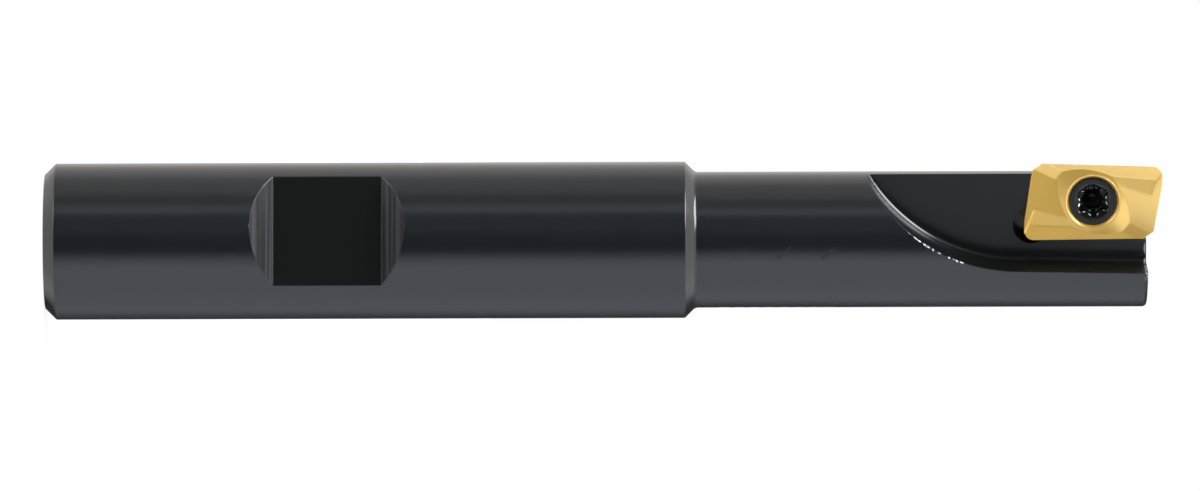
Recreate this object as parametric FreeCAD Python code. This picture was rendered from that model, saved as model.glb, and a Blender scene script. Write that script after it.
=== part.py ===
import FreeCAD, Part
import math
import os

# Indexable end mill, one edge, side-lock shank. Lengths are in mm and angles in degrees.
# The tool stands on its shank end with its axis up Z. The rake side of the insert looks along -Y,
# and the cutting edge is on the -X side, so it cuts turning clockwise seen from the shank.

# Shank
shank_radius = 6.35
shank_length = 52.0
shank_chamfer = 0.9
centre_hole_mouth_radius = 1.8
centre_hole_pilot_radius = 1.0
centre_hole_depth = 3.6
centre_cone_deg = 60.0
centre_point_deg = 120.0

# Side-lock flat
flat_length = 8.8
flat_centre = 23.0
flat_depth = 1.86
flat_ramp_deg = 45.0
flat_turn_deg = 21.6

# Neck
neck_radius = 5.52
body_length = 89.5
shoulder_fillet = 0.3
tip_round = 0.4

# Flute
flute_floor = 0.56
flute_wall = 1.65
flute_wall_slope_deg = 1.0
flute_straight = 10.5
flute_runout_radius = 14.5
flute_corner_radius = 0.4

# Insert
insert_length = 11.24
insert_width = 6.35
insert_thickness = 3.5
flank_deg = 11.0
nose_radius = 0.8
wiper_length = 0.7
end_lean_deg = 5.0
corner_along = 0.9
corner_across = 0.7
edge_rise_deg = 5.7
edge_rake_deg = 20.0
end_drop_deg = 10.0
end_rake_deg = 7.0
groove_at_nose = 1.22
groove_turn_deg = 2.9
groove_wall_deg = 6.0
groove_end_deg = 25.0
groove_end_lean_deg = 17.0
groove_end_margin = 0.08
facet_station = 3.6
facet_rise = 0.08
boss_drop = 0.6
boss_rim = 0.06
boss_half_length = 4.75
boss_half_width = 3.05
boss_turn_deg = 152.0
boss_height = 0.62
hole_radius = 1.4
countersink_radius = 2.135
countersink_deg = 60.0

# Place of the insert on the body
insert_setback = 4.35
insert_offset = 3.17
nose_height = 1.3
insert_turn_deg = 1.77
wall_clearance = 0.02
relief_radius = 1.5
relief_inset_along = 0.75
relief_inset_across = 1.1
relief_extra_depth = 0.15

# Screw
head_radius = 1.96
head_clearance = 0.01
head_rim = 0.08
thread_radius = 1.25
thread_clearance = 0.02
screw_length = 4.8
screw_point_chamfer = 0.3
recess_tip_radius = 1.275
recess_valley_radius = 0.925
recess_lobe_round = 0.2
recess_lobes = 6
recess_depth = 1.1
recess_point = 0.35
recess_bevel_radius = 1.45

seat_height = nose_height - insert_thickness
insert_station = body_length - insert_setback

# How far the cutting shapes reach past what they cut: by a little, and across everything.
overshoot = 1.0
far = 30.0


def tan(angle):
    return math.tan(math.radians(angle))


def cos(angle):
    return math.cos(math.radians(angle))


def sin(angle):
    return math.sin(math.radians(angle))


def vector(x, y, z):
    return FreeCAD.Vector(x, y, z)


def at(side, face, station):
    # A point by its distance to the cutting side, to the rake side and along the tool from the shank end.
    return vector(-side, -face, station)


def revolved(outline):
    # Turns a closed outline of (radius, height) points about the Z axis.
    face = Part.Face(Part.makePolygon([vector(r, 0, z) for r, z in outline + outline[:1]]))
    return face.revolve(vector(0, 0, 0), vector(0, 0, 1), 360)


def prism(points, direction):
    face = Part.Face(Part.makePolygon(points + points[:1]))
    return face.extrude(direction)


# Body

def turned_blank():
    # The shank's wall is in two stretches: the one that has the flat, and the clear one that a holder grips.
    step = shank_radius - neck_radius
    flat_end = flat_centre + flat_length / 2 + flat_depth / tan(flat_ramp_deg)
    outline = [
        (0, 0),
        (shank_radius - shank_chamfer, 0),
        (shank_radius, shank_chamfer),
        (shank_radius, flat_end),
        (shank_radius, shank_length),
        (neck_radius, shank_length + step),
        (neck_radius, body_length),
        (0, body_length),
    ]
    blank = revolved(outline)
    rounds = {shank_length + step: shoulder_fillet, body_length: tip_round}
    for height, radius in rounds.items():
        edges = [edge for edge in blank.Edges if is_neck_circle(edge, height)]
        blank = blank.makeFillet(radius, edges)
    return blank


def is_neck_circle(edge, height):
    box = edge.BoundBox
    flat = abs(box.ZMin - height) < 1e-4 and abs(box.ZMax - height) < 1e-4
    return flat and abs(box.XMax - neck_radius) < 1e-4


def centre_hole():
    cone = (centre_hole_mouth_radius - centre_hole_pilot_radius) / tan(centre_cone_deg / 2)
    point = centre_hole_pilot_radius / tan(centre_point_deg / 2)
    return revolved([
        (0, 0),
        (centre_hole_mouth_radius, 0),
        (centre_hole_pilot_radius, cone),
        (centre_hole_pilot_radius, centre_hole_depth),
        (0, centre_hole_depth + point),
    ])


def side_lock_flat():
    # A flat with a ramp at each end, cut square to the tool and turned about its axis.
    floor = shank_radius - flat_depth
    top = shank_radius + overshoot
    run = (top - floor) / tan(flat_ramp_deg)
    low = flat_centre - flat_length / 2
    high = flat_centre + flat_length / 2
    points = [
        at(-far, floor, low),
        at(-far, top, low - run),
        at(-far, top, high + run),
        at(-far, floor, high),
    ]
    cutter = prism(points, vector(-2 * far, 0, 0))
    return cutter.rotated(vector(0, 0, 0), vector(0, 0, 1), -flat_turn_deg)


def flute():
    # Plan of the flute: a nearly straight wall from the tip, then an arc that climbs out of the neck.
    tip = body_length + overshoot
    wall_end = body_length - flute_straight
    slope = tan(flute_wall_slope_deg)
    wall_at_end = -flute_wall
    wall_at_tip = wall_at_end - slope * (tip - wall_end)
    quarter = 90.0 - flute_wall_slope_deg
    centre_side = wall_at_end + flute_runout_radius * cos(flute_wall_slope_deg)
    centre_station = wall_end + flute_runout_radius * sin(flute_wall_slope_deg)

    def on_arc(angle):
        # The angle starts where the arc leaves the wall and ends where it runs square to the tool.
        angle += flute_wall_slope_deg
        side = centre_side - flute_runout_radius * cos(angle)
        station = centre_station - flute_runout_radius * sin(angle)
        return at(side, flute_floor, station)

    start = at(wall_at_end, flute_floor, wall_end)
    wall = Part.LineSegment(at(wall_at_tip, flute_floor, tip), start)
    last = on_arc(quarter)
    arc = Part.Arc(start, on_arc(quarter / 2), last)
    edges = [wall.toShape(), arc.toShape()]
    corners = [last, at(far, flute_floor, last.z), at(far, flute_floor, tip), at(wall_at_tip, flute_floor, tip)]
    for one, two in zip(corners, corners[1:]):
        edges.append(Part.LineSegment(one, two).toShape())
    face = Part.Face(Part.Wire(edges))
    cutter = face.extrude(vector(0, -far, 0))
    rounded = [edge for edge in cutter.Edges if is_flute_corner(edge, centre_side)]
    return cutter.makeFillet(flute_corner_radius, rounded)


def is_flute_corner(edge, centre_side):
    # The floor edges below the wall and below the arc, and not those outside the neck.
    box = edge.BoundBox
    on_floor = abs(box.YMin + flute_floor) < 1e-4 and abs(box.YMax + flute_floor) < 1e-4
    return on_floor and box.XMin > -centre_side - 1e-4 and box.ZLength > 1


# Insert outline: each side is the direction of its outward normal and its distance from the hole.

def meet(one, two):
    # The point where two sides cross.
    a1, d1 = one
    a2, d2 = two
    determinant = sin(a2 - a1)
    u = (d1 * sin(a2) - d2 * sin(a1)) / determinant
    v = (d2 * cos(a1) - d1 * cos(a2)) / determinant
    return u, v


def side_through(angle, point):
    return angle, point[0] * cos(angle) + point[1] * sin(angle)


def half_sides():
    # The active half of the outline at the height of the nose, in clockwise order: the long cutting
    # edge, the wiper behind the nose, the end edge and the cut corner. The other half is its half-turn.
    edge = (90.0, insert_width / 2)
    wiper = (insert_turn_deg, insert_length / 2)
    tangent = nose_radius * tan((90.0 - insert_turn_deg) / 2)
    u, v = meet(edge, wiper)
    reach = tangent + wiper_length
    wiper_end = (u + reach * sin(insert_turn_deg), v - reach * cos(insert_turn_deg))
    end = side_through(-end_lean_deg, wiper_end)
    far_edge = (-90.0, insert_width / 2)
    u, v = meet(end, far_edge)
    on_edge = (u - corner_along, v)
    on_end = (u + corner_across * sin(end_lean_deg), v + corner_across * cos(end_lean_deg))
    slant = math.degrees(math.atan2(on_edge[0] - on_end[0], on_end[1] - on_edge[1]))
    corner = side_through(slant, on_end)
    return [edge, wiper, end, corner]


def flank_inset(height):
    # How far the flank has moved in at a height above the seat.
    return (insert_thickness - height) * tan(flank_deg)


def inset_sides(height, growth):
    # All eight sides at a height above the seat.
    inset = flank_inset(height) - growth
    half = [(angle, distance - inset) for angle, distance in half_sides()]
    other = [(angle + 180.0, distance) for angle, distance in half]
    return half + other


def outline(height):
    # Closed wire of the insert at a height, with an arc at each nose.
    sides = inset_sides(height, 0)
    radius = nose_radius - flank_inset(height)
    edges = []
    start = meet(sides[-1], sides[0])
    for i, side in enumerate(sides):
        following = sides[(i + 1) % len(sides)]
        if i % (len(sides) // 2) == 0:
            # A long edge ends in the nose arc, and the wiper begins where that arc ends.
            first, middle, last = nose_points(side, following, radius)
            edges.append(segment(start, first, height))
            arc = Part.Arc(vector(*first, height), vector(*middle, height), vector(*last, height))
            edges.append(arc.toShape())
            start = last
        else:
            end = meet(side, following)
            edges.append(segment(start, end, height))
            start = end
    return Part.Wire(edges)


def segment(one, two, height):
    return Part.LineSegment(vector(*one, height), vector(*two, height)).toShape()


def nose_points(edge, wiper, radius):
    # Where the nose arc leaves the cutting edge, its middle, and where it meets the wiper.
    u, v = meet((edge[0], edge[1] - radius), (wiper[0], wiper[1] - radius))
    middle = (edge[0] + wiper[0]) / 2
    angles = (edge[0], middle, wiper[0])
    return [(u + radius * cos(angle), v + radius * sin(angle)) for angle in angles]


def below(point, along, inward):
    # Everything under the plane through a point that holds two directions.
    corners = []
    for a, b in ((-1, -1), (1, -1), (1, 1), (-1, 1)):
        corners.append(point + along * (a * far) + inward * (b * far))
    return prism(corners, vector(0, 0, -2 * far))


def half_turn(shape):
    return shape.rotated(vector(0, 0, 0), vector(0, 0, 1), 180)


def both(shape):
    return shape.fuse(half_turn(shape))


def rake_form():
    # The pressed top: rake faces along the edges and the ends, a chip groove that narrows away from
    # each nose, a facet in each low corner and an oval boss round the hole.
    nose = vector(insert_length / 2 - nose_radius, insert_width / 2, insert_thickness)
    along = vector(1, tan(edge_rise_deg) * tan(flank_deg), tan(edge_rise_deg))
    inward = vector(0, -1, -tan(edge_rake_deg))
    edge_rake = below(nose, along, inward)

    end_point = vector(insert_length / 2, insert_width / 2 - nose_radius, insert_thickness)
    end_along = vector(tan(end_lean_deg), 1, tan(end_drop_deg))
    end_inward = vector(-1, 0, -tan(end_rake_deg))
    end_rake = below(end_point, end_along, end_inward)

    valley = nose + inward * groove_at_nose
    valley_fall = tan(edge_rise_deg) - tan(edge_rake_deg) * tan(groove_turn_deg)
    valley_along = vector(1, -tan(groove_turn_deg), valley_fall)
    groove_wall = below(valley, valley_along, vector(0, -1, tan(groove_wall_deg)))
    groove_tip = insert_length / 2 - groove_end_margin - nose_radius / 2
    groove_end = below(
        vector(groove_tip, valley.y, valley.z),
        vector(tan(groove_end_lean_deg), 1, -tan(groove_wall_deg)),
        vector(1, 0, 1 / tan(groove_end_deg)),
    )
    end_form = end_rake.common(groove_wall.fuse(groove_end))

    end_normal = upward(end_along, end_inward)
    idle_normal = upward(along, inward)
    idle_normal = vector(-idle_normal.x, -idle_normal.y, idle_normal.z)
    idle_nose = vector(-nose.x, -nose.y, nose.z)
    facet_normal = (end_normal + idle_normal).normalize()
    foot = crossing(end_normal, end_point, idle_normal, idle_nose, facet_station)
    line = end_normal.cross(idle_normal).normalize()
    facet = below(foot + facet_normal * facet_rise, line, facet_normal.cross(line))

    return both(end_form).fuse(both(facet)).fuse(boss()).fuse(both(edge_rake))


def upward(one, two):
    # Unit normal of the plane that holds two directions, on its upper side.
    normal = one.cross(two).normalize()
    return normal if normal.z > 0 else normal * -1


def crossing(normal_1, point_1, normal_2, point_2, u):
    # The point of two planes' common line that lies at a given place along the insert.
    c1 = normal_1.dot(point_1) - normal_1.x * u
    c2 = normal_2.dot(point_2) - normal_2.x * u
    determinant = normal_1.y * normal_2.z - normal_2.y * normal_1.z
    v = (c1 * normal_2.z - c2 * normal_1.z) / determinant
    height = (normal_1.y * c2 - normal_2.y * c1) / determinant
    return vector(u, v, height)


def boss():
    # An oval boss round the screw hole, wider at its foot than at its rim.
    top = insert_thickness - boss_drop
    rim = countersink_radius + boss_rim
    foot = top - boss_height
    axis_end = vector(cos(boss_turn_deg), sin(boss_turn_deg), 0)
    axis_side = vector(-sin(boss_turn_deg), cos(boss_turn_deg), 0)
    wires = []
    for height, major, minor in ((foot, boss_half_length, boss_half_width), (top, rim + boss_rim, rim)):
        centre = vector(0, 0, height)
        ellipse = Part.Ellipse(centre + axis_end * major, centre + axis_side * minor, centre)
        wires.append(Part.Wire(ellipse.toShape()))
    skirt = Part.makeLoft(wires, True, True)
    foot_face = Part.Face(wires[0])
    return skirt.fuse(foot_face.extrude(vector(0, 0, -foot)))


def screw_hole():
    top = insert_thickness - boss_drop
    spread = tan(countersink_deg / 2)
    depth = (countersink_radius - hole_radius) / spread
    return revolved([
        (0, -overshoot),
        (hole_radius, -overshoot),
        (hole_radius, top - depth),
        (countersink_radius + overshoot * spread, top + overshoot),
        (0, top + overshoot),
    ])


def insert_in_own_frame():
    top = insert_thickness + overshoot
    blank = Part.makeLoft([outline(0), outline(top)], True, True)
    shape = blank.common(rake_form())
    return shape.cut(screw_hole()).removeSplitter()


def pocket():
    # Floor and two walls that take the insert's flanks, open to the cutting side and the tip.
    wires = []
    for height in (0.0, 2 * insert_thickness):
        long_wall, end_wall = inner_sides(height, wall_clearance)
        corner = meet(long_wall, end_wall)
        outside = (90.0, far)
        front = (0.0, far)
        points = [corner, meet(long_wall, front), meet(outside, front), meet(end_wall, outside)]
        wires.append(Part.makePolygon([vector(*p, height) for p in points + points[:1]]))
    return Part.makeLoft(wires, True, True)


def inner_sides(height, clearance):
    # The idle long side and the idle end side, which lie against the pocket's walls.
    sides = inset_sides(height, clearance)
    return sides[4], sides[6]


def corner_relief():
    # A milled pocket corner that keeps the idle nose clear of the body.
    u, v = meet(*inner_sides(insert_thickness, 0))
    height = 2 * insert_thickness
    place = vector(u + relief_inset_along, v + relief_inset_across, -relief_extra_depth)
    return Part.makeCylinder(relief_radius, height, place)


def tapped_hole():
    radius = thread_radius + thread_clearance
    return Part.makeCylinder(radius, far, vector(0, 0, -far + insert_thickness))


def seated(shape):
    # From the insert's own frame, hole on the origin and seat at height 0, to its place on the tool.
    # The axes run along the insert, across it towards the cutting side, and up out of the seat.
    u_axis = vector(sin(insert_turn_deg), 0, cos(insert_turn_deg))
    t_axis = vector(0, -1, 0)
    v_axis = t_axis.cross(u_axis)
    origin = at(insert_offset, seat_height, insert_station)
    turn = FreeCAD.Matrix(
        u_axis.x, v_axis.x, t_axis.x, origin.x,
        u_axis.y, v_axis.y, t_axis.y, origin.y,
        u_axis.z, v_axis.z, t_axis.z, origin.z,
        0, 0, 0, 1,
    )
    moved = shape.copy()
    moved.Placement = FreeCAD.Placement(turn)
    return moved


def cutter_body():
    shape = turned_blank()
    for cutter in (centre_hole(), side_lock_flat(), flute()):
        shape = shape.cut(cutter)
    for cutter in (pocket(), corner_relief(), tapped_hole()):
        shape = shape.cut(seated(cutter))
    return shape


# Screw

def recess_outline(height):
    # Six lobes, each a small arc, joined by hollow arcs that touch them.
    pitch = 360.0 / recess_lobes
    lobe_centre = recess_tip_radius - recess_lobe_round
    spread = 2 * lobe_centre * cos(pitch / 2)
    top = lobe_centre ** 2 + recess_valley_radius ** 2
    top -= recess_valley_radius * spread + recess_lobe_round ** 2
    hollow = top / (2 * recess_lobe_round - 2 * recess_valley_radius + spread)
    hollow_centre = recess_valley_radius + hollow

    def point(radius, angle):
        return vector(radius * cos(angle), radius * sin(angle), height)

    def touch(lobe_angle, hollow_angle):
        lobe = point(lobe_centre, lobe_angle)
        away = point(hollow_centre, hollow_angle) - lobe
        return lobe + away * (recess_lobe_round / away.Length)

    edges = []
    for i in range(recess_lobes):
        angle = i * pitch
        start = touch(angle, angle - pitch / 2)
        end = touch(angle, angle + pitch / 2)
        following = touch(angle + pitch, angle + pitch / 2)
        edges.append(Part.Arc(start, point(recess_tip_radius, angle), end).toShape())
        valley = point(recess_valley_radius, angle + pitch / 2)
        edges.append(Part.Arc(end, valley, following).toShape())
    return Part.Wire(edges)


def insert_screw_in_own_frame():
    # The head's cone lies on the countersink, so the head sits where its radius meets that cone.
    spread = tan(countersink_deg / 2)
    rim_height = insert_thickness - boss_drop
    top = rim_height - (countersink_radius - head_radius - head_clearance) / spread
    neck_height = top - (head_radius - thread_radius) / spread
    tip = top - screw_length
    shape = revolved([
        (0, tip),
        (thread_radius - screw_point_chamfer, tip),
        (thread_radius, tip + screw_point_chamfer),
        (thread_radius, neck_height),
        (head_radius, top),
        (head_radius - head_rim, top + head_rim / 2),
        (0, top + head_rim / 2),
    ])
    top += head_rim / 2
    floor = top - recess_depth
    recess = Part.Face(recess_outline(floor)).extrude(vector(0, 0, recess_depth + overshoot))
    point = Part.makeCone(0, recess_valley_radius, recess_point, vector(0, 0, floor - recess_point))
    lead = recess_bevel_radius - recess_tip_radius
    bevel = Part.makeCone(recess_tip_radius - lead, recess_bevel_radius, 2 * lead, vector(0, 0, top - 2 * lead))
    for cutter in (recess, point, bevel):
        shape = shape.cut(cutter)
    return shape


def write(name, shape):
    solid = shape.Solids[0]
    print(name, "solids", len(shape.Solids), "valid", shape.isValid(), "volume", round(shape.Volume, 3))
    solid.exportStep("parts/" + name + ".step")


os.makedirs("parts", exist_ok=True)
write("cutter_body", cutter_body())
write("insert", seated(insert_in_own_frame()))
write("insert_screw", seated(insert_screw_in_own_frame()))
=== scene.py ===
import math

import bmesh
import bpy
import numpy as np
from mathutils import Matrix


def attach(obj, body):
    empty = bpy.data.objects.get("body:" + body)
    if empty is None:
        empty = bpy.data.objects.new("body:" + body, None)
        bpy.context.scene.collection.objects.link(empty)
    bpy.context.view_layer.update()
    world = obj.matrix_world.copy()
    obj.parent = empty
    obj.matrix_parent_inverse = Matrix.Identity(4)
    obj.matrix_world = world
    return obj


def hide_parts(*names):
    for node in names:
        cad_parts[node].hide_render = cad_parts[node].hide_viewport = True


# Indexable end mill standing on its shank end, axis up Z.
# Lengths are in mm and angles in degrees until meshObject() turns the points into metres.
# side = distance to the cutting side (-X), face = distance to the rake side (-Y).

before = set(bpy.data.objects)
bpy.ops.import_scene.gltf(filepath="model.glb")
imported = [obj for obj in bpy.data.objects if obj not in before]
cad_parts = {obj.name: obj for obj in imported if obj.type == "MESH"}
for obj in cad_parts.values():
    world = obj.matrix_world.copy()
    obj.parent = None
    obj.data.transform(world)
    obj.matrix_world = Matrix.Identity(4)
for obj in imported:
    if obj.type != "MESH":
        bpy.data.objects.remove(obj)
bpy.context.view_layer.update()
print("frame loaded", sorted(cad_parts))

body = {
    "shankRadius": 6.35,
    "shankLength": 52.0,
    "endChamfer": 0.9,
    "centreMouth": 1.8,
    "centrePilot": 1.0,
    "centreDepth": 3.6,
    "centreConeDeg": 60.0,
    "centrePointDeg": 120.0,
    "flatLength": 8.8,
    "flatCentre": 23.0,
    "flatDepth": 1.86,
    "flatTurnDeg": 21.6,
    "flatHollow": 0.1,
    "neckRadius": 5.52,
    "shoulderFillet": 0.6,
    "length": 89.5,
    "tipRound": 0.4,
    "edgeBreak": 0.06,      # small rounding of the milled edges
    "backSamples": 128,
    "wallSamples": 42,
    "floorSamples": 30,
}

flute = {
    "floor": 0.56,
    "wall": -1.65,
    "slopeDeg": 1.0,
    "straight": 10.5,
    "runoutRadius": 14.5,
    "corner": 0.4,
    "mouth": 0.06,          # how far below its fillet's top the flute counts as open
}

insert = {
    "length": 11.24,
    "width": 6.35,
    "thickness": 3.5,
    "flankDeg": 11.0,
    "noseRadius": 0.8,
    "wiper": 0.7,
    "endLeanDeg": 5.0,
    "cornerAlong": 0.9,
    "cornerAcross": 0.7,
    "edgeRiseDeg": 5.9,
    "edgeRakeDeg": 19.0,
    "endDropDeg": 10.3,
    "endRakeDeg": 7.2,
    "grooveAtNose": 1.12,
    "grooveTurnDeg": 3.3,
    "grooveWallDeg": -0.5,
    "grooveEndDeg": 30.0,
    "grooveLeanDeg": 16.0,
    "grooveMargin": 0.08,
    "facetStation": 3.6,
    "facetRise": 0.13,
    "bossDrop": 0.6,
    "bossRim": 0.1,
    "bossSlope": 0.246,
    "bossSlopeSwing": 0.088,    # steeper towards bossTurnDeg, gentler across it
    "bossTurnDeg": 165.0,
    "holeRadius": 1.4,
    "sinkRadius": 2.135,
    "sinkDeg": 60.0,
    "hone": 0.035,          # rounding of the cutting edges
    "crease": 0.03,         # softness of the pressed creases
    "lip": 0.11,            # rounding of the countersink's rim
}

seat = {
    "station": body["length"] - 4.35,
    "offset": 3.17,
    "noseHeight": 1.3,
    "turnDeg": 1.77,
    "wallClearance": 0.02,
    "reliefRadius": 1.5,
    "reliefAlong": 0.75,
    "reliefAcross": 1.1,
    "reliefDepth": 0.15,
}

screw = {
    "headRadius": 1.96,
    "headClearance": 0.01,
    "headRim": 0.08,
    "threadRadius": 1.25,
    "threadClearance": 0.02,
    "threadPitch": 0.45,
    "threadDepth": 0.16,
    "length": 4.8,
    "tipChamfer": 0.3,
    "recessTurnDeg": 36.0,
    "recessTip": 1.35,
    "recessValley": 0.99,
    "lobeRound": 0.22,
    "mouthRound": 0.11,
    "recessDepth": 1.05,
    "boreRadius": 0.78,
    "boreDepth": 1.9,
    "bevelRadius": 1.45,
    "wearFromRidgeDeg": 12.0,    # worn spots beside each ridge of the recess
    "wearHalfDeg": 7.0,
    "wearOutside": 0.07,
    "around": 288,
}


def tan(angle):
    return math.tan(math.radians(angle))


def cos(angle):
    return np.cos(np.radians(angle))


def sin(angle):
    return np.sin(np.radians(angle))


# Meshes

def gridFaces(rows, columns, closedRows=False):
    # Quads of a grid whose columns run round and close on themselves.
    last = rows if closedRows else rows - 1
    row = np.arange(last)[:, None] * columns
    following = (np.arange(last)[:, None] + 1) % rows * columns
    here = np.arange(columns)[None, :]
    there = (here + 1) % columns
    return np.stack([row + here, row + there, following + there, following + here], -1).reshape(-1, 4)


def meshObject(name, points, faces, smoothDeg=35.0):
    # Points in mm become a closed mesh in metres.
    mesh = bpy.data.meshes.new(name)
    mesh.from_pydata((points.reshape(-1, 3) * 0.001).tolist(), [], faces.tolist())
    made = bpy.data.objects.new(name, mesh)
    bpy.context.scene.collection.objects.link(made)
    tidyMesh(made, smoothDeg)
    return made


def tidyMesh(made, smoothDeg=35.0):
    # Points that meet are merged, faces turned outwards, and edges sharper than smoothDeg kept.
    meeting = 0.0000004
    work = bmesh.new()
    work.from_mesh(made.data)
    bmesh.ops.remove_doubles(work, verts=work.verts, dist=meeting)
    bmesh.ops.dissolve_degenerate(work, edges=work.edges, dist=meeting / 2)
    bmesh.ops.recalc_face_normals(work, faces=work.faces)
    work.to_mesh(made.data)
    work.free()
    made.data.polygons.foreach_set("use_smooth", np.ones(len(made.data.polygons), bool))
    made.data.set_sharp_from_angle(angle=math.radians(smoothDeg))
    made.data.update()


def cutAway(made, cutters):
    # Exact differences, applied at once.
    for cutter in cutters:
        change = made.modifiers.new("cut", "BOOLEAN")
        change.operation = "DIFFERENCE"
        change.solver = "EXACT"
        change.object = cutter
        bpy.context.view_layer.update()
        whole = bpy.data.meshes.new_from_object(made.evaluated_get(bpy.context.evaluated_depsgraph_get()))
        made.modifiers.clear()
        made.data = whole
        bpy.data.objects.remove(cutter)


def fade(value, start, width):
    # Rises evenly from 0 at start to 1 a width later, or falls to 0 at start where the width is negative.
    return np.clip((value - start) / width, 0, 1)


def place(side, face, station):
    return np.stack([-side, -face, station], -1)


# Body

def leaning(before, corner, after, t):
    # A quadratic curve from before (t = 0) to after (t = 1) that leans on the corner.
    return (1 - t) ** 2 * before + 2 * t * (1 - t) * corner + t ** 2 * after


def roundedCorner(before, corner, after):
    return [leaning(before, corner, after, t) for t in np.linspace(0, 1, 5)]


def bodyProfile():
    # Radius and height from the bottom of the centre hole, over the outside, to the rim of the tip.
    b = body
    rise = (b["centreMouth"] - b["centrePilot"]) / tan(b["centreConeDeg"] / 2)
    point = b["centrePilot"] / tan(b["centrePointDeg"] / 2)
    step = b["shankRadius"] - b["neckRadius"]
    e = b["edgeBreak"]
    corners = [
        (0.0, b["centreDepth"] + point, 0.0),
        (b["centrePilot"], b["centreDepth"], 0.02),
        (b["centrePilot"], rise, 0.02),
        (b["centreMouth"], 0.0, 0.04),
        (b["shankRadius"] - b["endChamfer"], 0.0, e),
        (b["shankRadius"], b["endChamfer"], e),
        (b["shankRadius"], b["shankLength"], e),
        (b["neckRadius"], b["shankLength"] + step, b["shoulderFillet"] * tan(22.5)),
        (b["neckRadius"], b["length"], b["tipRound"]),
        (b["neckRadius"] - 0.9, b["length"], 0.0),
    ]
    radius, height = [], []
    for i, (r, z, cut) in enumerate(corners):
        if cut == 0:
            radius.append(r)
            height.append(z)
            continue
        here = np.array([r, z])
        back = np.array(corners[i - 1][:2]) - here
        ahead = np.array(corners[i + 1][:2]) - here
        start = here + back / np.linalg.norm(back) * cut
        end = here + ahead / np.linalg.norm(ahead) * cut
        steps = 7 if cut > 0.1 else 4
        for t in np.linspace(0, 1, steps):
            x, y = leaning(start, here, end, t)
            radius.append(x)
            height.append(y)
    return np.array(radius), np.array(height)


def bodyStations():
    # The profile's own points, with stations added where the flat and the flute change.
    b, f = body, flute
    radius, height = bodyProfile()
    outer = int(np.argmax(radius >= b["shankRadius"] - 1e-9))
    half = b["flatLength"] / 2
    low, high = b["flatCentre"] - half, b["flatCentre"] + half
    ramp = b["flatDepth"]
    farEnd, nearEnd, fine = 64.0, (64.2, 66.6), 66.65   # the rings draw closer towards the run-out
    straight = b["length"] - f["straight"]
    rounded = b["length"] - b["tipRound"]
    eased = (1 - np.cos(np.linspace(0, math.pi, 21))) / 2
    added = [
        np.arange(2.0, low - ramp - 1, 1.5),
        np.linspace(low - ramp - 1.2, low - ramp, 5),
        low - ramp + ramp * eased,
        low + np.linspace(-b["flatHollow"], b["flatHollow"], 9),
        np.linspace(low + 0.8, high - 0.8, 8),
        high + np.linspace(-b["flatHollow"], b["flatHollow"], 9),
        high + ramp * eased,
        np.linspace(high + ramp + 0.3, high + ramp + 1.5, 4),
        np.arange(high + ramp + 3, b["shankLength"] - 0.3, 1.5),
        np.arange(b["shankLength"] + 1.4, farEnd, 1.2),
        np.linspace(*nearEnd, 9),
        fine + (straight - fine) * np.linspace(0, 1, 100) ** 1.4,
        np.linspace(straight + 0.4, rounded - 0.2, 22),
    ]
    extra = np.concatenate(added)
    start = height[outer]
    extra = extra[(extra > start + 0.01) & (extra < rounded - 0.01)]
    allHeights = np.concatenate([height[outer:], extra])
    order = np.argsort(allHeights, kind="stable")
    sortedHeights = allHeights[order]
    keep = np.concatenate([[True], np.diff(sortedHeights) > 1e-5])
    sortedHeights = sortedHeights[keep]
    outsideRadius = np.interp(sortedHeights, height[outer:-1], radius[outer:-1])
    return np.concatenate([radius[:outer], outsideRadius]), np.concatenate([height[:outer], sortedHeights])


def wallSide(height, depth):
    # Side of the flute's wall at a height along the tool, moved into the flute by the fillet's depth.
    f = flute
    end = body["length"] - f["straight"]
    slope = tan(f["slopeDeg"])
    centreSide = f["wall"] + f["runoutRadius"] * cos(f["slopeDeg"])
    centreStation = end + f["runoutRadius"] * sin(f["slopeDeg"])
    reach = np.maximum((f["runoutRadius"] - depth) ** 2 - (centreStation - height) ** 2, 0)
    onArc = centreSide - np.sqrt(reach)
    straight = f["wall"] - slope * (height - end) + depth
    return np.where(height < end, onArc, straight)


def sideAt(height, face):
    # Side of the flute's wall or fillet at a distance from the axis plane.
    top = flute["floor"] + flute["corner"]
    drop = np.clip(top - face, 0, flute["corner"])
    depth = flute["corner"] - np.sqrt(np.maximum(flute["corner"] ** 2 - drop ** 2, 0))
    return wallSide(height, depth)


def crossingFace(radius, height, inner, outer):
    # Where the wall or its fillet comes out through the neck, found by halving between a place inside it
    # and one outside.
    for _ in range(40):
        middle = (inner + outer) / 2
        inside = sideAt(height, middle) ** 2 + middle ** 2 < radius ** 2
        inner = np.where(inside, middle, inner)
        outer = np.where(inside, outer, middle)
    return inner


def flutePath(radius, height, s):
    # From the top edge of the flute's wall (s = 0) down the wall and round its fillet, as far as the floor
    # or to where the fillet leaves the neck (s = 1).
    f = flute
    top = f["floor"] + f["corner"]
    middle = np.full_like(height, top - f["mouth"])
    edge = crossingFace(radius, height, middle, radius + 0 * middle)
    foot = crossingFace(radius, height, middle, np.full_like(height, f["floor"]))
    wallLength = np.maximum(edge - top, 0)
    startAngle = np.arcsin(np.clip((top - edge) / f["corner"], 0, 1))
    endAngle = np.arcsin(np.clip((top - foot) / f["corner"], 0, 1))
    travelled = s * (wallLength + (endAngle - startAngle) * f["corner"])
    onWall = travelled < wallLength
    angle = startAngle + np.maximum(travelled - wallLength, 0) / f["corner"]
    face = np.where(onWall, edge - travelled, top - f["corner"] * np.sin(angle))
    depth = np.where(onWall, 0.0, f["corner"] * (1 - np.cos(angle)))
    return wallSide(height, depth), face


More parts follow.
